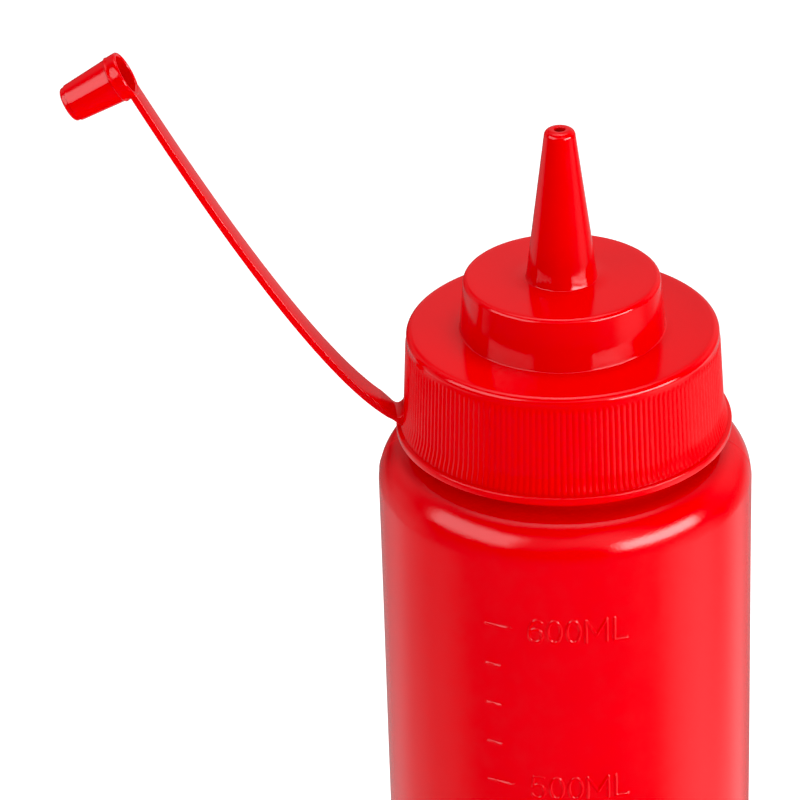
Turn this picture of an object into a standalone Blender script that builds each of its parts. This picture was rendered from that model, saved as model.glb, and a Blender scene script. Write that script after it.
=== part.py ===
# Squeeze bottle for sauce: a round blow-moulded bottle and a screw cap with a stepped top, a tapered
# nozzle, and a moulded strap that carries the nozzle's tip cover.
# Metres, +Z up. The origin is the centre of the flat base, on the bottle's axis. -Y is the front,
# and the strap leaves the cap toward -X.

import math

import bpy
from mathutils import Vector

MM = 0.001

# Bottle, in millimetres
BODY_R = 33.85
BASE_EDGE_R = 4.5
WALL_TAPER_Z = 135.0
WALL_TOP_R = 33.35
SHOULDER_START_Z = 199.6
SHOULDER_WIDE = 6.2
SHOULDER_TALL = 6.5
SHOULDER_ARC_DEG = 84.0
NECK_R = 25.5
NECK_FOOT_Z = 207.0
NECK_TOP_Z = 225.4
NECK_EDGE = 0.8
BOTTLE_SEGMENTS = 80

# Cap: the heights here and below count from its flat top, which is CAP_TOP_Z above the base
CAP_TOP_Z = 228.0
CAP_TOP_R = 27.52
CAP_EDGE_R = 1.0
SKIRT_FOOT_R = 28.3
SKIRT_FOOT_H = -14.8
RIM_R = 29.8
RIM_TOP_H = -18.1
RIM_LOW_H = -19.54
RIM_EDGE_R = 0.35
CAP_SEGMENTS = 83

# Grip ribs: RIB_SPLIT points of a rib ring stand on each segment of the cap, two to a rib
RIB_SPLIT = 4
RIB_TOP_H = -2.5
RIB_LOW_H = -17.2
RIB_RUN_OUT = 0.5
RIB_DEPTH = 0.28

# Inside of the cap
CAP_BORE_R = 26.0
CAP_CEILING_H = -2.1
STEP_BORE_R = 15.2
STEP_CEILING_H = 7.6

# Step and nozzle
STEP_H = 9.67
STEP_TOP_R = 17.29
STEP_FOOT_R = 18.04
STEP_EDGE_R = 0.8
NOZZLE_H = 37.59
NOZZLE_TIP_R = 2.74
NOZZLE_FOOT_R = 6.25
NOZZLE_EDGE_R = 1.15
NOZZLE_FILLET = 0.5
NOZZLE_HOLE_R = 1.0
NOZZLE_HOLE_SINK = 0.05
NOZZLE_BORE_FOOT_R = 4.3

# Strap: one Bezier curve in the XZ plane, from inside the cap's wall to the tip cover
STRAP_ROOT = (-30.0, -15.6)
STRAP_ROOT_DEG = 30.0
STRAP_ROOT_PULL = 7.89
STRAP_END = (-71.6, 47.02)
STRAP_END_DEG = 62.7
STRAP_END_PULL = 46.73
STRAP_ROOT_WIDTH = 6.0
STRAP_END_WIDTH = 4.9
STRAP_ROOT_THICK = 1.3
STRAP_END_THICK = 1.15
STRAP_INTO_CAP = 2.4
STRAP_INTO_COVER = 1.3
STRAP_STEPS = 28
STRAP_FILLET_R = 1.8
STRAP_FILLET_CENTRE = (-30.1, -14.1)
STRAP_FILLET_START_DEG = -112.0
STRAP_FILLET_IN_R = 27.2
STRAP_FILLET_DOWN = 0.6
STRAP_FILLET_WIDTH = 5.88

# Tip cover: a small cup whose mouth faces up and toward the nozzle
COVER_MOUTH = (-72.9, 50.94)
COVER_TILT_DEG = 27.6
COVER_MOUTH_R = 4.15
COVER_COLLAR_R = 4.32
COVER_COLLAR_LONG = 2.4
COVER_COLLAR_EDGE = 0.12
COVER_NECK_R = 3.9
COVER_END_R = 3.28
COVER_LONG = 11.7
COVER_EDGE_R = 0.3
COVER_END_EDGE_R = 0.7
COVER_BORE_MOUTH_R = 3.4
COVER_BORE_END_R = 2.6
COVER_BORE_DEEP = 10.3
COVER_BORE_EDGE = 0.3
COVER_BORE_CLEAR = 1.0
COVER_DISH_R = 2.1
COVER_DISH_WALL = 0.25
COVER_DISH_DEEP = 0.35
COVER_SEGMENTS = 48

SMOOTH_DEG = 32.0
RED = (0.76, 0.004, 0.010, 1.0)


def arc(centre_r, centre_z, wide, tall, start_deg, end_deg, steps):
    """Points of an elliptical arc in the (radius, height) plane."""
    points = []
    for i in range(steps + 1):
        a = math.radians(start_deg + (end_deg - start_deg) * i / steps)
        points.append((centre_r + wide * math.cos(a), centre_z + tall * math.sin(a)))
    return points


def turned(profile, segments):
    """Vertices and faces of a profile turned about Z. It starts and ends on the axis."""
    verts = []
    faces = []
    inner = profile[1:-1]
    for r, z in inner:
        for i in range(segments):
            a = 2 * math.pi * i / segments
            verts.append((r * math.cos(a), r * math.sin(a), z))
    for k in range(len(inner) - 1):
        low = k * segments
        high = low + segments
        for i in range(segments):
            j = (i + 1) % segments
            faces.append((low + i, low + j, high + j, high + i))
    first = len(verts)
    verts.append((0.0, 0.0, profile[0][1]))
    verts.append((0.0, 0.0, profile[-1][1]))
    last_row = (len(inner) - 1) * segments
    for i in range(segments):
        j = (i + 1) % segments
        faces.append((first, j, i))
        faces.append((first + 1, last_row + i, last_row + j))
    return verts, faces


def make_object(name, verts, faces, material=None):
    """A new object from points in millimetres, with its faces turned outward."""
    mesh = bpy.data.meshes.new(name)
    mesh.from_pydata([tuple(c * MM for c in v) for v in verts], [], faces)
    mesh.validate()
    obj = bpy.data.objects.new(name, mesh)
    bpy.context.scene.collection.objects.link(obj)
    if signed_volume(mesh) < 0:
        mesh.flip_normals()
    mesh.shade_smooth()
    mesh.set_sharp_from_angle(angle=math.radians(SMOOTH_DEG))
    if material:
        mesh.materials.append(material)
    return obj


def signed_volume(mesh):
    """Volume inside a closed mesh, negative where its faces look inward."""
    mesh.calc_loop_triangles()
    total = 0.0
    for tri in mesh.loop_triangles:
        a, b, c = (mesh.vertices[i].co for i in tri.vertices)
        total += a.dot(b.cross(c)) / 6
    return total


def plastic(name, colour, roughness):
    """One coloured plastic."""
    material = bpy.data.materials.new(name)
    material.use_nodes = True
    shader = material.node_tree.nodes["Principled BSDF"]
    shader.inputs["Base Color"].default_value = colour
    shader.inputs["Roughness"].default_value = roughness
    material.diffuse_color = colour
    return material


def helper(obj):
    """Marks an object that only shapes another one."""
    obj.hide_render = True
    obj.display_type = "WIRE"
    return obj


def combine(target, other, operation):
    """Adds or cuts another solid."""
    modifier = target.modifiers.new(other.name, "BOOLEAN")
    modifier.object = helper(other)
    modifier.operation = operation
    modifier.solver = "EXACT"


def bottle_profile():
    """Base, wall, rounded shoulder and the plain neck that the cap hides."""
    points = [(0.0, 0.0)]
    points += arc(BODY_R - BASE_EDGE_R, BASE_EDGE_R, BASE_EDGE_R, BASE_EDGE_R, -90, 0, 6)
    points.append((BODY_R, WALL_TAPER_Z / 2))
    points.append((BODY_R, WALL_TAPER_Z))
    shoulder_r = WALL_TOP_R - SHOULDER_WIDE
    points += arc(shoulder_r, SHOULDER_START_Z, SHOULDER_WIDE, SHOULDER_TALL, 0, SHOULDER_ARC_DEG, 9)
    points.append((NECK_R, NECK_FOOT_Z))
    points.append((NECK_R, NECK_TOP_Z - NECK_EDGE))
    points.append((NECK_R - NECK_EDGE, NECK_TOP_Z))
    points.append((0.0, NECK_TOP_Z))
    return points


def skirt_radius(height):
    """Outer radius of the cap's skirt: a slight taper, then a concave flare to the rim."""
    if height > SKIRT_FOOT_H:
        share = (height + CAP_EDGE_R) / (SKIRT_FOOT_H + CAP_EDGE_R)
        return CAP_TOP_R + (SKIRT_FOOT_R - CAP_TOP_R) * share
    share = (SKIRT_FOOT_H - height) / (SKIRT_FOOT_H - RIM_TOP_H)
    return SKIRT_FOOT_R + (RIM_R - RIM_EDGE_R - SKIRT_FOOT_R) * share ** 1.5


def cap_rows():
    """Rows of the cap in order round its section: radius, height, and R for a ribbed row of crests alone,
    V for one with valleys, or M for a plain one."""
    rows = []

    def plain(points):
        for r, h in points:
            rows.append((r, h, "M"))

    tip_r = NOZZLE_TIP_R - NOZZLE_EDGE_R
    plain([(NOZZLE_HOLE_R, NOZZLE_H - NOZZLE_HOLE_SINK)])
    plain(arc(tip_r, NOZZLE_H - NOZZLE_EDGE_R, NOZZLE_EDGE_R, NOZZLE_EDGE_R, 90, 0, 4))
    plain([(NOZZLE_FOOT_R, STEP_H + NOZZLE_FILLET), (NOZZLE_FOOT_R + NOZZLE_FILLET, STEP_H)])
    plain(arc(STEP_TOP_R - STEP_EDGE_R, STEP_H - STEP_EDGE_R, STEP_EDGE_R, STEP_EDGE_R, 90, 0, 3))
    plain([(STEP_FOOT_R, 0.0)])
    plain(arc(CAP_TOP_R - CAP_EDGE_R, -CAP_EDGE_R, CAP_EDGE_R, CAP_EDGE_R, 90, 0, 4))
    for height, kind in (
        (RIB_TOP_H, "R"),
        (RIB_TOP_H - RIB_RUN_OUT, "V"),
        (SKIRT_FOOT_H, "V"),
        ((SKIRT_FOOT_H + RIB_LOW_H) / 2, "V"),
        (RIB_LOW_H + RIB_RUN_OUT, "V"),
        (RIB_LOW_H, "R"),
    ):
        rows.append((skirt_radius(height), height, kind))
    plain([(RIM_R - RIM_EDGE_R, RIM_TOP_H), (RIM_R, RIM_TOP_H - RIM_EDGE_R)])
    plain([(RIM_R, RIM_LOW_H + RIM_EDGE_R), (RIM_R - RIM_EDGE_R, RIM_LOW_H)])
    plain([(CAP_BORE_R, RIM_LOW_H), (CAP_BORE_R, CAP_CEILING_H)])
    plain([(STEP_BORE_R, CAP_CEILING_H), (STEP_BORE_R, STEP_CEILING_H)])
    plain([(NOZZLE_BORE_FOOT_R, STEP_CEILING_H)])
    return rows


def cap_mesh():
    """The cap as rows of points. A ribbed row has RIB_SPLIT times the points of a plain one."""
    verts = []
    faces = []
    rings = []
    for r, h, kind in cap_rows():
        count = CAP_SEGMENTS if kind == "M" else CAP_SEGMENTS * RIB_SPLIT
        ring = []
        for i in range(count):
            a = 2 * math.pi * i / count
            depth = RIB_DEPTH if kind == "V" and i % 2 else 0.0
            ring.append(len(verts))
            verts.append(((r - depth) * math.cos(a), (r - depth) * math.sin(a), CAP_TOP_Z + h))
        rings.append(ring)
    for k, ring in enumerate(rings):
        other = rings[(k + 1) % len(rings)]
        if len(ring) == len(other):
            n = len(ring)
            for i in range(n):
                j = (i + 1) % n
                faces.append((ring[i], other[i], other[j], ring[j]))
        else:
            coarse, fine = (ring, other) if len(ring) < len(other) else (other, ring)
            for i in range(CAP_SEGMENTS):
                j = (i + 1) % CAP_SEGMENTS
                run = [fine[(i * RIB_SPLIT + s) % len(fine)] for s in range(RIB_SPLIT + 1)]
                face = [coarse[j], coarse[i]] + run
                faces.append(tuple(face) if coarse is ring else tuple(reversed(face)))
    return verts, faces


def strap_point(t):
    """Middle of the strap at t, with its direction, in the XZ plane."""
    a0 = math.radians(STRAP_ROOT_DEG)
    a1 = math.radians(STRAP_END_DEG)
    p0 = Vector(STRAP_ROOT)
    p3 = Vector(STRAP_END)
    p1 = p0 + STRAP_ROOT_PULL * Vector((-math.cos(a0), math.sin(a0)))
    p2 = p3 - STRAP_END_PULL * Vector((-math.cos(a1), math.sin(a1)))
    u = 1 - t
    middle = u ** 3 * p0 + 3 * t * u * u * p1 + 3 * t * t * u * p2 + t ** 3 * p3
    along = 3 * u * u * (p1 - p0) + 6 * u * t * (p2 - p1) + 3 * t * t * (p3 - p2)
    return middle, along.normalized()


def strap_stations():
    """Middle, direction and share of the way, with short straight runs into the cap's wall and the cover."""
    middle, along = strap_point(0.0)
    stations = [(middle - along * STRAP_INTO_CAP, along, 0.0)]
    for i in range(STRAP_STEPS + 1):
        t = i / STRAP_STEPS
        middle, along = strap_point(t)
        stations.append((middle, along, t))
    stations.append((middle + along * STRAP_INTO_COVER, along, 1.0))
    return stations


def strap_mesh():
    """A flat band: four corners at each station."""
    verts = []
    faces = []
    stations = strap_stations()
    for middle, along, t in stations:
        across = Vector((along.y, -along.x))
        thick = STRAP_ROOT_THICK + (STRAP_END_THICK - STRAP_ROOT_THICK) * t
        wide = STRAP_ROOT_WIDTH + (STRAP_END_WIDTH - STRAP_ROOT_WIDTH) * t
        up = middle - across * thick / 2
        low = middle + across * thick / 2
        for point, side in ((up, -1), (up, 1), (low, 1), (low, -1)):
            verts.append((point.x, side * wide / 2, CAP_TOP_Z + point.y))
    for k in range(len(stations) - 1):
        a = 4 * k
        for c in range(4):
            d = (c + 1) % 4
            faces.append((a + c, a + d, a + 4 + d, a + 4 + c))
    faces.append((3, 2, 1, 0))
    end = 4 * (len(stations) - 1)
    faces.append((end, end + 1, end + 2, end + 3))
    return verts, faces


def fillet_mesh():
    """The web in the corner between the skirt and the strap's root, with a concave top."""
    centre_x, centre_h = STRAP_FILLET_CENTRE
    outline = arc(centre_x, centre_h, STRAP_FILLET_R, STRAP_FILLET_R, STRAP_FILLET_START_DEG, 0, 8)
    outline.append((-STRAP_FILLET_IN_R, centre_h))
    outline.append((-STRAP_FILLET_IN_R, STRAP_ROOT[1] - STRAP_FILLET_DOWN))
    outline.append((outline[0][0], outline[0][1] - STRAP_FILLET_DOWN))
    verts = []
    for side in (-1, 1):
        for x, h in outline:
            verts.append((x, side * STRAP_FILLET_WIDTH / 2, CAP_TOP_Z + h))
    n = len(outline)
    faces = [tuple(range(n)), tuple(reversed(range(n, 2 * n)))]
    for i in range(n):
        j = (i + 1) % n
        faces.append((i, i + n, j + n, j))
    return verts, faces


def cover_place(verts):
    """Moves points turned about Z to the cover's place: +Z there runs from the mouth to the closed end."""
    tilt = math.radians(COVER_TILT_DEG)
    along = Vector((-math.cos(tilt), 0.0, -math.sin(tilt)))
    side = Vector((0.0, 1.0, 0.0))
    up = side.cross(along)
    mouth = Vector((COVER_MOUTH[0], 0.0, CAP_TOP_Z + COVER_MOUTH[1]))
    return [tuple(mouth + up * x + side * y + along * z) for x, y, z in verts]


def cover_profile():
    """Outside of the tip cover, from the mouth to the dished closed end."""
    points = [(0.0, 0.0), (COVER_MOUTH_R - COVER_EDGE_R, 0.0), (COVER_MOUTH_R, COVER_EDGE_R)]
    points += [(COVER_COLLAR_R, COVER_COLLAR_LONG - COVER_COLLAR_EDGE)]
    points += [(COVER_COLLAR_R - COVER_COLLAR_EDGE, COVER_COLLAR_LONG)]
    points += [(COVER_NECK_R, COVER_COLLAR_LONG + COVER_COLLAR_EDGE)]
    edge = COVER_END_EDGE_R
    points += arc(COVER_END_R - edge, COVER_LONG - edge, edge, edge, 0, 90, 3)
    points += [(COVER_DISH_R + COVER_DISH_WALL, COVER_LONG), (COVER_DISH_R, COVER_LONG - COVER_DISH_DEEP)]
    points += [(0.0, COVER_LONG - COVER_DISH_DEEP)]
    return points


def cover_bore_profile():
    """The cutter for the cup's inside, which starts outside the mouth."""
    slope = (COVER_BORE_MOUTH_R - COVER_BORE_END_R) / COVER_BORE_DEEP
    return [
        (0.0, -COVER_BORE_CLEAR),
        (COVER_BORE_MOUTH_R + COVER_BORE_CLEAR * slope, -COVER_BORE_CLEAR),
        (COVER_BORE_END_R + COVER_BORE_EDGE * slope, COVER_BORE_DEEP - COVER_BORE_EDGE),
        (COVER_BORE_END_R - COVER_BORE_EDGE, COVER_BORE_DEEP),
        (0.0, COVER_BORE_DEEP),
    ]


def build():
    for obj in list(bpy.data.objects):
        bpy.data.objects.remove(obj, do_unlink=True)

    body_red = plastic("bottle_red", RED, 0.36)
    cap_red = plastic("cap_red", RED, 0.2)

    make_object("bottle", *turned(bottle_profile(), BOTTLE_SEGMENTS), body_red)

    cap = make_object("cap", *cap_mesh(), cap_red)
    combine(cap, make_object("strap_shape", *strap_mesh(), cap_red), "UNION")
    combine(cap, make_object("fillet_shape", *fillet_mesh(), cap_red), "UNION")
    verts, faces = turned(cover_profile(), COVER_SEGMENTS)
    combine(cap, make_object("cover_shape", cover_place(verts), faces, cap_red), "UNION")
    verts, faces = turned(cover_bore_profile(), COVER_SEGMENTS)
    combine(cap, make_object("cover_bore_shape", cover_place(verts), faces, cap_red), "DIFFERENCE")


build()
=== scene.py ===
"""Looks of a red sauce bottle: fine meshes of the bottle and its cap, plastics, lights and camera."""
import math

import bpy
import numpy as np
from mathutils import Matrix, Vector


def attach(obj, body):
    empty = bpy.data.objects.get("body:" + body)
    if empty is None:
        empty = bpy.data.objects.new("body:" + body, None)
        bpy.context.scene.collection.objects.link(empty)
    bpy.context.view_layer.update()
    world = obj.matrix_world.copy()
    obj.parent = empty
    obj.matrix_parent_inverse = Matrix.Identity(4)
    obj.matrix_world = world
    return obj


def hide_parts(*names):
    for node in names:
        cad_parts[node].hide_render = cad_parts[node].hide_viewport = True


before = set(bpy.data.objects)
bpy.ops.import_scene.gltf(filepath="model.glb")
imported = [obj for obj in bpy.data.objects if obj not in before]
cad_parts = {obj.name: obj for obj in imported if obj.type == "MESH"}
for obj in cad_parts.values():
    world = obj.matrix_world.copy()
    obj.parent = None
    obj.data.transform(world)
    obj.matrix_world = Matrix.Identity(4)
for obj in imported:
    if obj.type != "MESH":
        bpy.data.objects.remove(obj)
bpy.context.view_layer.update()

MM = 0.001

# Bottle, in millimetres. Pairs are a radius and a height.
BODY_R = 33.62
WALL_TOP_R = 33.35
TAPER_Z = 125.0
BASE_HOLLOW = ((0.01, 1.9), (12.0, 1.85), (20.0, 1.45), (24.0, 0.9), (26.4, 0.35), (27.6, 0.08), (28.6, 0.0))
BASE_EDGE_R = 4.5
SHOULDER_Z = 198.0
SHOULDER_WIDE = 6.6
SHOULDER_TALL = 7.6
SHOULDER_FLAT = ((26.5, 205.61), (25.9, 205.66))
NECK_R = 25.5
NECK_FOOT_Z = 205.9
NECK_TOP_Z = 225.4
NECK_EDGE_R = 0.8
SEAM_DEG = -96.0
SEAM_HIGH = 0.07
SEAM_HALF = 0.16
SEAM_FROM_R = 29.0
SEAM_FROM_Z = 1.5

# Moulded scale on the front: height of each 100 ml line, and angles from the front toward the right
SCALE_Z = (30.2, 60.5, 91.0, 121.8, 152.95, 185.55)
SCALE_R = 33.6
TICK_LEFT_DEG = -28.0
TICK_LONG_DEG = -19.7
TICK_SHORT_DEG = -23.25
TICK_DROP = 0.1
TICK_HALF = 0.12
TEXT_HIGH = 4.35
TEXT_DOWN = 0.2
TEXT_ROOM = 2.65
GLYPHS_DEG = ((-14.2, -10.25), (-8.5, -4.6), (-2.9, 1.05), (2.8, 9.1), (11.4, 15.3))
STROKE_HALF = 0.2
STROKE_EDGE = 0.13
STROKE_HIGH = 0.21

# Cap: heights count from its flat top
CAP_TOP_Z = 228.0
CAP_TOP_R = 27.52
CAP_EDGE_R = 1.15
SKIRT_FOOT_R = 28.3
SKIRT_FOOT_H = -14.8
FLARE_R = 29.15
RIM_R = 29.8
RIM_TOP_H = -18.1
RIM_LOW_H = -19.54
RIM_EDGE_R = 0.28
RIBS = 166
RIB_COLUMNS = 10
RIB_TOP_H = -1.85
RIB_LOW_H = -18.1
RIB_HIGH = 0.15
RIB_SUNK = 0.06
STEP_H = 9.67
STEP_TOP_R = 17.29
STEP_FOOT_R = 18.04
STEP_EDGE_R = 0.9
STEP_FILLET_R = 0.25
NOZZLE_H = 37.59
NOZZLE_TIP_R = 2.74
NOZZLE_EDGE_R = 1.15
NOZZLE_FOOT_R = 6.25
NOZZLE_FILLET_R = 0.13
HOLE_R = 0.95
HOLE_EDGE_R = 0.22
SKIRT_IN_R = 26.0
STEP_IN_R = 15.2
NOZZLE_IN_R = 4.6
ROOF_H = -2.1
STEP_ROOF_H = 7.6

# Strap and tip cover, in the XZ plane: places are x and height from the cap's flat top
STRAP_START = (-30.0, -15.6)
STRAP_END = (-71.6, 47.02)
STRAP_START_DEG = 30.0
STRAP_END_DEG = 62.7
STRAP_START_PULL = 7.89
STRAP_END_PULL = 46.73
STRAP_ROOT_T = 0.115
STRAP_WIDE = 6.0
STRAP_WIDE_LESS = 1.1
STRAP_THICK = 1.3
STRAP_THICK_LESS = 0.15
STRAP_EDGE_R = 0.13
COVER_MOUTH = (-72.9, 50.94)
COVER_TILT_DEG = 27.6
COVER_LONG = 11.7


def arc(centre_r, centre_h, wide, tall, start_deg, end_deg, steps):
    """Points of an elliptical arc."""
    points = []
    for i in range(steps + 1):
        a = math.radians(start_deg + (end_deg - start_deg) * i / steps)
        points.append((centre_r + wide * math.cos(a), centre_h + tall * math.sin(a)))
    return points


def line(start, end, steps):
    """Points on a straight line, without its start."""
    return [(start[0] + (end[0] - start[0]) * i / steps, start[1] + (end[1] - start[1]) * i / steps)
            for i in range(1, steps + 1)]


def smooth(x):
    """Eases from 0 to 1."""
    x = np.clip(x, 0, 1)
    return x * x * (3 - 2 * x)


def grid_faces(rows, cols, first=0):
    """Quads of a grid of points whose columns close on themselves."""
    k, i = np.meshgrid(np.arange(rows - 1), np.arange(cols), indexing="ij")
    j = (i + 1) % cols
    low = k * cols + first
    quads = np.stack([low + i, low + j, low + cols + j, low + cols + i], -1)
    return quads.reshape(-1, 4).tolist()


def piece(name, verts, faces, material, sharp_deg=40):
    """A mesh piece from points in millimetres, riding on the one body."""
    mesh = bpy.data.meshes.new(name)
    mesh.from_pydata([(x * MM, y * MM, z * MM) for x, y, z in verts], [], faces)
    mesh.shade_smooth()
    mesh.set_sharp_from_angle(angle=math.radians(sharp_deg))
    mesh.materials.append(material)
    obj = bpy.data.objects.new(name, mesh)
    bpy.context.scene.collection.objects.link(obj)
    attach(obj, "root")
    return obj


# Plastics


class Nodes:
    """A material's node tree, with short calls to add nodes and links."""

    def __init__(self, name):
        self.material = bpy.data.materials.new(name)
        self.material.use_nodes = True
        self.tree = self.material.node_tree
        self.shader = self.tree.nodes["Principled BSDF"]
        self.coords = self.tree.nodes.new("ShaderNodeTexCoord").outputs["Object"]

    def noise(self, scale, detail=2.0, rough=0.5):
        node = self.tree.nodes.new("ShaderNodeTexNoise")
        node.inputs["Scale"].default_value = scale
        node.inputs["Detail"].default_value = detail
        node.inputs["Roughness"].default_value = rough
        self.tree.links.new(self.coords, node.inputs["Vector"])
        return node.outputs["Fac"]

    def spread(self, value, low, high):
        node = self.tree.nodes.new("ShaderNodeMapRange")
        node.inputs["From Min"].default_value = 0.3
        node.inputs["From Max"].default_value = 0.7
        node.inputs["To Min"].default_value = low
        node.inputs["To Max"].default_value = high
        self.tree.links.new(value, node.inputs["Value"])
        return node.outputs["Result"]

    def bump(self, value, distance, strength, under=None):
        node = self.tree.nodes.new("ShaderNodeBump")
        node.inputs["Distance"].default_value = distance
        node.inputs["Strength"].default_value = strength
        self.tree.links.new(value, node.inputs["Height"])
        if under:
            self.tree.links.new(under, node.inputs["Normal"])
        return node.outputs["Normal"]

    def link(self, value, socket):
        self.tree.links.new(value, self.shader.inputs[socket])


def red_plastic(name, colour, rough, rough_spread, grain_scale, grain_deep, wave_deep):
    """Red polyethylene: fine grain over faint moulding waves, with slightly uneven gloss and colour."""
    n = Nodes(name)
    n.shader.inputs["IOR"].default_value = 1.5
    tone = n.tree.nodes.new("ShaderNodeMix")
    tone.data_type = "RGBA"
    n.tree.links.new(n.spread(n.noise(60.0, 3.0), 0.0, 1.0), tone.inputs["Factor"])
    tone.inputs["A"].default_value = (colour[0] * 0.985, colour[1], colour[2], 1)
    tone.inputs["B"].default_value = (min(1.0, colour[0] * 1.015), colour[1], colour[2], 1)
    n.link(tone.outputs["Result"], "Base Color")
    n.link(n.spread(n.noise(400.0, 4.0), rough - rough_spread, rough + rough_spread), "Roughness")
    wave = n.bump(n.noise(90.0, 1.0), wave_deep, 1.0)
    n.link(n.bump(n.noise(grain_scale, 2.0), grain_deep, 1.0, wave), "Normal")
    return n.material


bottle_red = red_plastic("bottle_red_satin", (0.68, 0.0005, 0.005), 0.17, 0.02, 2800.0, 0.00002, 0.00001)
cap_red = red_plastic("cap_red_gloss", (0.68, 0.0005, 0.004), 0.15, 0.015, 2500.0, 0.000002, 0.000003)


# Bottle


# Strokes of each sign, as points in a box one unit wide and high
GLYPHS = {
    "0": [arc(0.5, 0.5, 0.5, 0.5, 0, 360, 32)],
    "1": [[(0.2, 0.8), (0.55, 1.0), (0.55, 0.0)]],
    "2": [arc(0.5, 0.72, 0.46, 0.28, 165, -35, 16) + [(0.04, 0.0), (0.98, 0.0)]],
    "3": [arc(0.48, 0.76, 0.42, 0.24, 155, -90, 16) + arc(0.48, 0.27, 0.48, 0.27, 90, -155, 18)],
    "4": [[(0.74, 0.0), (0.74, 1.0), (0.0, 0.3), (1.0, 0.3)]],
    "5": [[(0.92, 1.0), (0.16, 1.0), (0.08, 0.55)] + arc(0.48, 0.32, 0.5, 0.32, 128, -150, 20)],
    "6": [arc(0.5, 0.3, 0.5, 0.3, 0, 360, 28), arc(0.62, 0.38, 0.62, 0.62, 186, 58, 16)],
    "M": [[(0.0, 0.0), (0.0, 1.0), (0.5, 0.3), (1.0, 1.0), (1.0, 0.0)]],
    "L": [[(0.0, 1.0), (0.0, 0.0), (1.0, 0.0)]],
}


def wall_radius(z):
    """Radius of the wall: straight, and very slightly narrower toward the shoulder."""
    return BODY_R + (WALL_TOP_R - BODY_R) * smooth((z - TAPER_Z) / (SHOULDER_Z - TAPER_Z))


def scale_strokes():
    """Line pieces of the moulded scale as (arc length, height) pairs, with each one's half-width."""
    strokes = []
    for hundred, z in enumerate(SCALE_Z, 1):
        below = SCALE_Z[hundred - 2] if hundred > 1 else 0.0
        for quarter in range(4):
            height = z + (below - z) * quarter / 4
            end = TICK_SHORT_DEG if quarter else TICK_LONG_DEG
            a = (SCALE_R * math.radians(TICK_LEFT_DEG), height)
            b = (SCALE_R * math.radians(end), height - TICK_DROP)
            strokes.append((a, b, TICK_HALF))
        text = str(hundred) + "00ML"
        for letter, (left, right) in zip(text, GLYPHS_DEG):
            x0 = SCALE_R * math.radians(left)
            x1 = SCALE_R * math.radians(right)
            z0 = z - TEXT_DOWN - TEXT_HIGH / 2
            for path in GLYPHS[letter]:
                points = [(x0 + (x1 - x0) * x, z0 + TEXT_HIGH * y) for x, y in path]
                for a, b in zip(points, points[1:]):
                    strokes.append((a, b, STROKE_HALF))
    return strokes


def wall_rows():
    """Heights of the wall's rows, close together where the scale's relief is."""
    marks = []
    for hundred, z in enumerate(SCALE_Z, 1):
        below = SCALE_Z[hundred - 2] if hundred > 1 else 0.0
        marks.append((z - TEXT_DOWN - TEXT_ROOM, z - TEXT_DOWN + TEXT_ROOM, 0.11))
        for quarter in range(1, 4):
            height = z + (below - z) * quarter / 4
            marks.append((height - 0.6, height + 0.5, 0.1))
    heights = []
    z = BASE_EDGE_R
    for low, high, step in sorted(marks):
        gap = max(1, round((low - z) / 1.4))
        heights += [z + (low - z) * i / gap for i in range(gap)]
        count = round((high - low) / step)
        heights += [low + (high - low) * i / count for i in range(count)]
        z = high
    gap = round((SHOULDER_Z - z) / 1.2)
    heights += [z + (SHOULDER_Z - z) * i / gap for i in range(gap)]
    return heights


def column_angles():
    """Angles of the bottle's columns in degrees, close together at the scale and at the two seams."""
    spans = [(TICK_LEFT_DEG - 1.4, GLYPHS_DEG[-1][1] + 1.4, 0.18)]
    for seam in (SEAM_DEG, SEAM_DEG + 180):
        spans.append((seam - 1.2, seam + 1.2, 0.15))
    angles = []
    a = -180.0
    for low, high, step in sorted(spans) + [(180.0, 180.0, 1.0)]:
        gap = max(1, round((low - a) / 1.4))
        angles += [a + (low - a) * i / gap for i in range(gap)]
        count = round((high - low) / step)
        angles += [low + (high - low) * i / count for i in range(count)]
        a = high
    return np.radians(np.array(angles))


def relief(angles, heights):
    """How far the scale stands out of the wall at each row and column."""
    high = np.zeros((len(heights), len(angles)))
    s = angles * SCALE_R
    z = np.array(heights)
    for a, b, half in scale_strokes():
        reach = half + STROKE_EDGE
        cols = np.where((s > min(a[0], b[0]) - reach) & (s < max(a[0], b[0]) + reach))[0]
        rows = np.where((z > min(a[1], b[1]) - reach) & (z < max(a[1], b[1]) + reach))[0]
        if not len(cols) or not len(rows):
            continue
        ss, zz = np.meshgrid(s[cols], z[rows])
        dx, dz = b[0] - a[0], b[1] - a[1]
        t = np.clip(((ss - a[0]) * dx + (zz - a[1]) * dz) / (dx * dx + dz * dz), 0, 1)
        away = np.hypot(ss - a[0] - t * dx, zz - a[1] - t * dz)
        stroke = STROKE_HIGH * smooth((reach - away) / (2 * STROKE_EDGE))
        block = np.ix_(rows, cols)
        high[block] = np.maximum(high[block], stroke)
    return high


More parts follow.
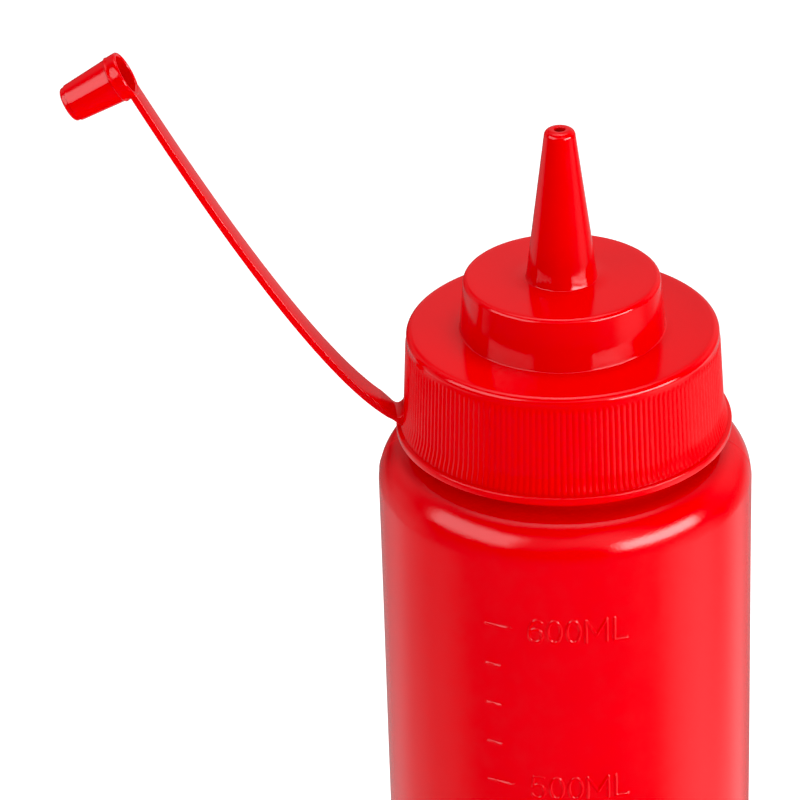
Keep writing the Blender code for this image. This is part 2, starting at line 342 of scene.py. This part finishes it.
def make_bottle():
    """The bottle: recessed base, wall with its moulded scale, rounded shoulder, parting lines and neck."""
    angles = column_angles()
    walls = wall_rows()
    base = list(BASE_HOLLOW)
    base += arc(BODY_R - BASE_EDGE_R, BASE_EDGE_R, BASE_EDGE_R, BASE_EDGE_R, -90, -4, 22)
    wall = [(float(wall_radius(z)), z) for z in walls]
    top = arc(WALL_TOP_R - SHOULDER_WIDE, SHOULDER_Z, SHOULDER_WIDE, SHOULDER_TALL, 0, 84, 44)
    top += [*SHOULDER_FLAT, (NECK_R, NECK_FOOT_Z)]
    edge = NECK_EDGE_R
    top += line((NECK_R, NECK_FOOT_Z), (NECK_R, NECK_TOP_Z - edge), 4)
    top += arc(NECK_R - edge, NECK_TOP_Z - edge, edge, edge, 15, 90, 5)
    top += [(12.0, NECK_TOP_Z), (0.01, NECK_TOP_Z)]
    profile = np.array(base + wall + top)
    r, z = profile[:, 0][:, None], profile[:, 1][:, None]
    slope = np.gradient(profile, axis=0)
    out_r, out_z = slope[:, 1], -slope[:, 0]
    long = np.hypot(out_r, out_z)
    out_r, out_z = (out_r / long)[:, None], (out_z / long)[:, None]
    stand = np.zeros((len(profile), len(angles)))
    stand[len(base):len(base) + len(wall)] = relief(angles, walls)
    for seam in (SEAM_DEG, SEAM_DEG + 180):
        away = np.abs(angles - math.radians(seam))[None, :] * r
        ridge = SEAM_HIGH * np.exp(-(away / SEAM_HALF) ** 2)
        stand += ridge * ((z > SEAM_FROM_Z) & (r > SEAM_FROM_R))
    rr = r + stand * out_r
    zz = z + stand * out_z
    verts = np.stack([rr * np.sin(angles), -rr * np.cos(angles), zz + 0 * angles], -1).reshape(-1, 3)
    faces = grid_faces(len(profile), len(angles))
    n = len(angles)
    faces.append(list(range(n))[::-1])
    last = (len(profile) - 1) * n
    faces.append(list(range(last, last + n)))
    obj = piece("bottle_body", verts.tolist(), faces, bottle_red)
    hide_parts("bottle")


# Cap


def skirt_radius(h):
    """Radius of the skirt: a slight taper, then a concave flare to the rim."""
    down = np.clip((h + CAP_EDGE_R) / (SKIRT_FOOT_H + CAP_EDGE_R), 0, 1)
    taper = CAP_TOP_R + (SKIRT_FOOT_R - CAP_TOP_R) * down
    share = np.clip((SKIRT_FOOT_H - h) / (SKIRT_FOOT_H - RIM_TOP_H), 0, 1)
    return taper + (FLARE_R - SKIRT_FOOT_R) * share ** 1.25


def cap_rows():
    """Rows round the cap's section as radius, height, column count and whether ribs stand on it."""
    fine, coarse, small = RIBS * RIB_COLUMNS, RIBS * 2, RIBS // 2
    rows = []

    def add(points, count, ribbed=False):
        rows.extend((x, h, count, ribbed) for x, h in points)

    edge = HOLE_EDGE_R
    add([(HOLE_R, NOZZLE_H - 3.0), (HOLE_R, NOZZLE_H - edge - 0.1)], small)
    add(arc(HOLE_R + edge, NOZZLE_H - edge, edge, edge, 170, 90, 5), small)
    edge = NOZZLE_EDGE_R
    add(arc(NOZZLE_TIP_R - edge, NOZZLE_H - edge, edge, edge, 90, 3, 12), small)
    fillet = NOZZLE_FILLET_R
    add(line((NOZZLE_TIP_R, NOZZLE_H - edge), (NOZZLE_FOOT_R, STEP_H + fillet), 16), small)
    add(arc(NOZZLE_FOOT_R + fillet + 0.01, STEP_H + fillet, fillet, fillet, 190, 270, 4), small)
    add([(9.0, STEP_H), (12.0, STEP_H)], small)
    add([(13.0, STEP_H), (15.5, STEP_H)], coarse)
    edge = STEP_EDGE_R
    add(arc(STEP_TOP_R - edge, STEP_H - edge, edge, edge, 90, 2, 12), coarse)
    fillet = STEP_FILLET_R
    add(line((STEP_TOP_R, STEP_H - edge), (STEP_FOOT_R - 0.02, fillet), 8), coarse)
    add(arc(STEP_FOOT_R + fillet - 0.02, fillet, fillet, fillet, 185, 270, 5), coarse)
    add([(19.5, 0.0), (22.5, 0.0), (25.0, 0.0)], coarse)
    add([(25.6, 0.0)], fine)
    edge = CAP_EDGE_R
    add(arc(CAP_TOP_R - edge, -edge, edge, edge, 90, 2, 12), fine)
    heights = [-1.3, -1.45, -1.6]
    heights += list(np.arange(-1.75, -3.7, -0.1))
    heights += list(np.arange(-3.9, -14.6, -0.7))
    heights += list(np.arange(SKIRT_FOOT_H, RIM_TOP_H + 0.1, -0.12))
    heights += [RIM_TOP_H + 0.05]
    add([(float(skirt_radius(h)), float(h)) for h in heights], fine, True)
    edge = RIM_EDGE_R
    add(arc(RIM_R - edge, RIM_TOP_H - edge, edge, edge, 85, 0, 5), fine)
    add(arc(RIM_R - edge, RIM_LOW_H + edge, edge, edge, 0, -90, 5), fine)
    add([(28.9, RIM_LOW_H)], fine)
    add([(28.2, RIM_LOW_H), (SKIRT_IN_R + 0.3, RIM_LOW_H), (SKIRT_IN_R, RIM_LOW_H + 0.3)], coarse)
    add([(SKIRT_IN_R, ROOF_H - 0.3), (SKIRT_IN_R - 0.3, ROOF_H)], coarse)
    add([(STEP_IN_R + 0.3, ROOF_H), (STEP_IN_R, ROOF_H + 0.3)], coarse)
    add([(STEP_IN_R, STEP_ROOF_H - 0.3), (STEP_IN_R - 0.3, STEP_ROOF_H), (11.0, STEP_ROOF_H)], coarse)
    add([(10.0, STEP_ROOF_H), (NOZZLE_IN_R, STEP_ROOF_H), (NOZZLE_IN_R - 0.3, STEP_ROOF_H + 0.3)], small)
    add([(HOLE_R, NOZZLE_H - 3.4)], small)
    return rows


def rib_height(angle, h, radius):
    """Height of the grip ribs: each one is rounded across and at its ends."""
    pitch = 2 * math.pi / RIBS
    across = (np.mod(angle + pitch / 2, pitch) - pitch / 2) * radius
    half = pitch * radius / 2
    end = (max(0.0, h - (RIB_TOP_H - 2 * half)) + max(0.0, (RIB_LOW_H + half * 1.5) - h)) / 2
    away = np.clip(np.hypot(across, end) / half, 0, 1)
    return RIB_HIGH * np.cos(away * math.pi / 2) ** 1.2


def ringed(rows):
    """Points and faces of rings in order. Neighbour rings may differ in count by a whole factor."""
    verts, faces, rings = [], [], []
    for r, h, count, ribbed in rows:
        angle = 2 * math.pi * np.arange(count) / count
        rr = r - RIB_SUNK + rib_height(angle, h, r) if ribbed else r + 0 * angle
        rings.append(np.arange(count) + len(verts))
        heights = np.full(count, CAP_TOP_Z + h)
        verts += np.stack([rr * np.cos(angle), rr * np.sin(angle), heights], -1).tolist()
    for k, ring in enumerate(rings):
        other = rings[(k + 1) % len(rings)]
        if len(ring) == len(other):
            faces += np.stack([ring, other, np.roll(other, -1), np.roll(ring, -1)], -1).tolist()
            continue
        coarse, fine = (ring, other) if len(ring) < len(other) else (other, ring)
        split = len(fine) // len(coarse)
        for i in range(len(coarse)):
            run = [int(fine[(i * split + s) % len(fine)]) for s in range(split + 1)]
            face = [int(coarse[(i + 1) % len(coarse)]), int(coarse[i])] + run
            faces.append(face if coarse is ring else face[::-1])
    return verts, faces


def strap_curve(t):
    """Middle of the free strap at t and its direction, in the XZ plane."""
    p0, p3 = Vector(STRAP_START), Vector(STRAP_END)
    a0, a1 = math.radians(STRAP_START_DEG), math.radians(STRAP_END_DEG)
    p1 = p0 + STRAP_START_PULL * Vector((-math.cos(a0), math.sin(a0)))
    p2 = p3 - STRAP_END_PULL * Vector((-math.cos(a1), math.sin(a1)))
    u = 1 - t
    middle = u ** 3 * p0 + 3 * t * u * u * p1 + 3 * t * t * u * p2 + t ** 3 * p3
    along = 3 * u * u * (p1 - p0) + 6 * u * t * (p2 - p1) + 3 * t * t * (p3 - p2)
    return middle, along.normalized()


# Upper and lower edge of the strap's root, where it thins to a hinge and curves up into the skirt
STRAP_ROOT = (
    ((-27.3, -13.3), (-27.2, -18.0)),
    ((-28.02, -14.25), (-28.0, -17.95)),
    ((-28.35, -14.95), (-28.45, -17.75)),
    ((-28.8, -15.45), (-29.0, -17.35)),
    ((-29.3, -15.72), (-29.5, -16.9)),
    ((-29.8, -15.66), (-30.05, -16.4)),
    ((-30.35, -15.25), (-30.65, -15.95)),
    ((-31.0, -14.5), (-31.4, -15.5)),
)


def strap_stations():
    """Upper point, lower point and width of each section of the strap, from the skirt to the tip cover."""
    stations = [(Vector(up), Vector(low), STRAP_WIDE) for up, low in STRAP_ROOT]
    for i in range(61):
        t = STRAP_ROOT_T + (1 - STRAP_ROOT_T) * i / 60
        middle, along = strap_curve(t)
        half = Vector((along.y, -along.x)) * (STRAP_THICK - STRAP_THICK_LESS * t) / 2
        stations.append((middle + half, middle - half, STRAP_WIDE - STRAP_WIDE_LESS * t))
    end = stations[-1]
    stations.append((end[0] + along * 0.7, end[1] + along * 0.7, 4.8))
    stations.append((end[0] + along * 1.3, end[1] + along * 1.3, 4.7))
    return stations


def eased(points, steps):
    """Points of a smooth curve through the given ones."""
    out = []
    count = len(points)
    for k in range(count - 1):
        p0, p1 = points[max(k - 1, 0)], points[k]
        p2, p3 = points[k + 1], points[min(k + 2, count - 1)]
        for i in range(steps):
            t = i / steps
            out.append(0.5 * ((2 * p1) + (p2 - p0) * t + (2 * p0 - 5 * p1 + 4 * p2 - p3) * t * t
                              + (3 * p1 - p0 - 3 * p2 + p3) * t ** 3))
    out.append(points[-1])
    return out


def strap_mesh(first):
    """The strap: a flat band with rounded edges."""
    stations = strap_stations()
    ups = eased([np.array(s[0]) for s in stations], 3)
    lows = eased([np.array(s[1]) for s in stations], 3)
    wides = eased([np.array([s[2]]) for s in stations], 3)
    verts = []
    steps = 6
    section = 4 * (steps + 1)
    for up, low, wide in zip(ups, lows, wides):
        middle = (up + low) / 2
        across = up - low
        thick = np.linalg.norm(across)
        across = across / thick
        edge = min(STRAP_EDGE_R, thick * 0.3)
        corners = ((1, 1), (-1, 1), (-1, -1), (1, -1))
        for c, (sy, st) in enumerate(corners):
            for i in range(steps + 1):
                a = math.radians(90 * c + 90 * i / steps)
                y = sy * (wide[0] / 2 - edge) + edge * math.cos(a)
                q = middle + across * (st * (thick / 2 - edge) + edge * math.sin(a))
                verts.append((q[0], y, CAP_TOP_Z + q[1]))
    rows = len(ups)
    faces = [f[::-1] for f in grid_faces(rows, section, first)]
    faces.append([first + i for i in range(section)])
    last = first + (rows - 1) * section
    faces.append([last + i for i in range(section)][::-1])
    return verts, faces


def cover_profile():
    """Section of the tip cover: bore, lip, collar with its beads, tapered side and dished end."""
    points = [(0.01, 10.3)] + arc(2.2, 9.9, 0.42, 0.4, 90, 0, 5)
    points += line((2.62, 9.9), (3.38, 0.5), 8)
    points += arc(3.72, 0.34, 0.34, 0.34, 180, 270, 7)
    points += arc(3.77, 0.36, 0.36, 0.36, 270, 355, 7)
    points += [(4.12, 0.7), (4.1, 1.1), (4.08, 1.5), (4.06, 1.9)]
    points += arc(3.94, 2.15, 0.2, 0.2, -20, 85, 8)
    points += [(3.92, 2.42), (3.9, 2.62)]
    points += line((3.9, 2.62), (3.33, COVER_LONG - 1.15), 12)
    points += [(3.31, COVER_LONG - 1.05), (3.16, COVER_LONG - 0.98), (3.12, COVER_LONG - 0.85)]
    points += arc(2.56, COVER_LONG - 0.55, 0.55, 0.55, 5, 90, 9)
    points += arc(2.35, COVER_LONG - 0.3, 0.25, 0.3, 90, 180, 5) + [(0.01, COVER_LONG - 0.35)]
    return points


def cover_mesh(first):
    """The tip cover in its place at the strap's end."""
    tilt = math.radians(COVER_TILT_DEG)
    along = np.array([-math.cos(tilt), 0.0, -math.sin(tilt)])
    side = np.array([0.0, 1.0, 0.0])
    up = np.cross(side, along)
    mouth = np.array([COVER_MOUTH[0], 0.0, CAP_TOP_Z + COVER_MOUTH[1]])
    profile = cover_profile()
    columns = 96
    angle = 2 * math.pi * np.arange(columns) / columns
    verts = []
    for r, u in profile:
        ring = mouth + along * u + np.outer(r * np.cos(angle), up) + np.outer(r * np.sin(angle), side)
        verts += ring.tolist()
    faces = grid_faces(len(profile), columns, first)
    faces.append([first + i for i in range(columns)][::-1])
    last = first + (len(profile) - 1) * columns
    faces.append([last + i for i in range(columns)])
    return verts, faces


def make_cap():
    """The cap moulding: skirt, ribs, step, nozzle, strap and tip cover."""
    verts, faces = ringed(cap_rows())
    for make in (strap_mesh, cover_mesh):
        more_verts, more_faces = make(len(verts))
        verts += more_verts
        faces += more_faces
    obj = piece("cap_moulding", verts, faces, cap_red, 35)
    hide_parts("cap")


make_bottle()
make_cap()


# Floor, lights and camera, in metres

FLOOR_R = 5.0
FLOOR_Z = -0.0002
FLOOR_GLOW = 0.42
LIGHTS_AIM_Z = 0.2
PATCH_DEG = 26.0
SATURATION = 1.013
CAMERA_LENS = 165.196
CAMERA_PLACE = (-0.02898, -0.57155, 0.52521)
CAMERA_TURN_DEG = (61.4306, 1.9455, -1.059)


def make_floor():
    """A flat round pale floor that glows slightly and shows in no reflection."""
    n = Nodes("floor_white")
    n.shader.inputs["Base Color"].default_value = (0.9, 0.9, 0.9, 1)
    n.shader.inputs["Emission Color"].default_value = (1, 1, 1, 1)
    n.shader.inputs["Emission Strength"].default_value = FLOOR_GLOW
    n.link(n.spread(n.noise(3.0), 0.88, 0.92), "Roughness")
    mesh = bpy.data.meshes.new("floor")
    points = [(x, y, FLOOR_Z) for x, y in arc(0, 0, FLOOR_R, FLOOR_R, 0, 360, 96)[:-1]]
    mesh.from_pydata(points, [], [list(range(len(points)))])
    mesh.materials.append(n.material)
    floor = bpy.data.objects.new("floor", mesh)
    floor.visible_glossy = False
    bpy.context.scene.collection.objects.link(floor)


make_floor()


def toward(azimuth, elevation):
    """Direction from the object, with azimuth counted from the front toward the right."""
    a, e = math.radians(azimuth), math.radians(elevation)
    return Vector((math.sin(a) * math.cos(e), -math.cos(a) * math.cos(e), math.sin(e)))


def softbox(name, azimuth, elevation, distance, wide, tall, power):
    """A soft rectangular light that faces the upper part of the bottle and isn't seen itself."""
    data = bpy.data.lights.new(name, "AREA")
    data.shape = "RECTANGLE"
    data.size, data.size_y = wide, tall
    data.energy = power
    obj = bpy.data.objects.new(name, data)
    way = toward(azimuth, elevation)
    obj.location = Vector((0, 0, LIGHTS_AIM_Z)) + way * distance
    obj.rotation_euler = way.to_track_quat("Z", "Y").to_euler()
    obj.visible_camera = False
    bpy.context.scene.collection.objects.link(obj)
    return obj


softbox("key_right", 54, 12.5, 0.8, 0.74, 0.25, 5.8)
softbox("fill_left", -63, 28, 0.9, 0.9, 0.48, 4.1)
overhead = softbox("overhead", 120, 78, 0.9, 0.6, 0.6, 4.7)
overhead.visible_glossy = False

# Arcs of soft patches: elevation, azimuth of the first and the last patch, their count and strength
PATCH_ARCS = (
    (-48, 90, 126, 2, 0.45),
    (-48, 198, 270, 3, 0.4),
    (-26, 124, 169, 3, 0.18),
    (-26, 214, 236, 2, 0.18),
    (14, 110, 170, 4, 0.18),
    (14, 190, 230, 2, 0.2),
    (34, 116, 167, 3, 0.1),
    (34, 219, 244, 2, 0.1),
    (56, 126, 162, 2, 0.15),
    (56, 198, 234, 2, 0.22),
    (78, 135, 225, 2, 1.25),
    (32, -18, 18, 2, 0.4),
)
# Lone soft patches: azimuth, elevation and strength
LONE_PATCHES = (
    (33, 38, 0.4),
    (56, -26, 0.08),
    (80, -26, 0.5),
    (126, -48, 0.2),
    (157, -10, 0.14),
    (-110, -6, 0.28),
)


def patches():
    """Direction and strength of each soft patch of the studio's table, walls and ceiling."""
    for elevation, first, last, count, strength in PATCH_ARCS:
        for i in range(count):
            yield toward(first + (last - first) * i / (count - 1), elevation), strength
    for azimuth, elevation, strength in LONE_PATCHES:
        yield toward(azimuth, elevation), strength


def make_world():
    """A dark studio with the soft patches added up."""
    world = bpy.data.worlds.new("studio")
    world.use_nodes = True
    tree = world.node_tree
    view = tree.nodes.new("ShaderNodeTexCoord").outputs["Generated"]
    glow = None
    for way, strength in patches():
        dot = tree.nodes.new("ShaderNodeVectorMath")
        dot.operation = "DOT_PRODUCT"
        dot.inputs[1].default_value = way
        tree.links.new(view, dot.inputs[0])
        patch = tree.nodes.new("ShaderNodeMapRange")
        patch.interpolation_type = "SMOOTHSTEP"
        patch.inputs["From Min"].default_value = math.cos(math.radians(PATCH_DEG))
        patch.inputs["From Max"].default_value = 1.0
        patch.inputs["To Max"].default_value = strength
        tree.links.new(dot.outputs["Value"], patch.inputs["Value"])
        if glow is None:
            glow = patch.outputs["Result"]
            continue
        add = tree.nodes.new("ShaderNodeMath")
        tree.links.new(glow, add.inputs[0])
        tree.links.new(patch.outputs["Result"], add.inputs[1])
        glow = add.outputs[0]
    tree.nodes["Background"].inputs["Color"].default_value = (1, 1, 1, 1)
    tree.links.new(glow, tree.nodes["Background"].inputs["Strength"])
    bpy.context.scene.world = world


def make_camera():
    """The camera, from the photo's side and above."""
    data = bpy.data.cameras.new("camera")
    data.sensor_width = 36
    data.lens = CAMERA_LENS
    data.clip_start = 0.01
    camera = bpy.data.objects.new("camera", data)
    camera.location = CAMERA_PLACE
    camera.rotation_euler = [math.radians(a) for a in CAMERA_TURN_DEG]
    bpy.context.scene.collection.objects.link(camera)
    bpy.context.scene.camera = camera


def make_grade():
    """Plain colours with a small rise of saturation."""
    bpy.context.scene.view_settings.view_transform = "Standard"
    bpy.context.scene.use_nodes = True
    grade = bpy.context.scene.node_tree
    grade.nodes.clear()
    layers = grade.nodes.new("CompositorNodeRLayers")
    richer = grade.nodes.new("CompositorNodeHueSat")
    richer.inputs["Saturation"].default_value = SATURATION
    finished = grade.nodes.new("CompositorNodeComposite")
    grade.links.new(layers.outputs["Image"], richer.inputs["Image"])
    grade.links.new(richer.outputs["Image"], finished.inputs["Image"])


make_world()
make_camera()
make_grade()
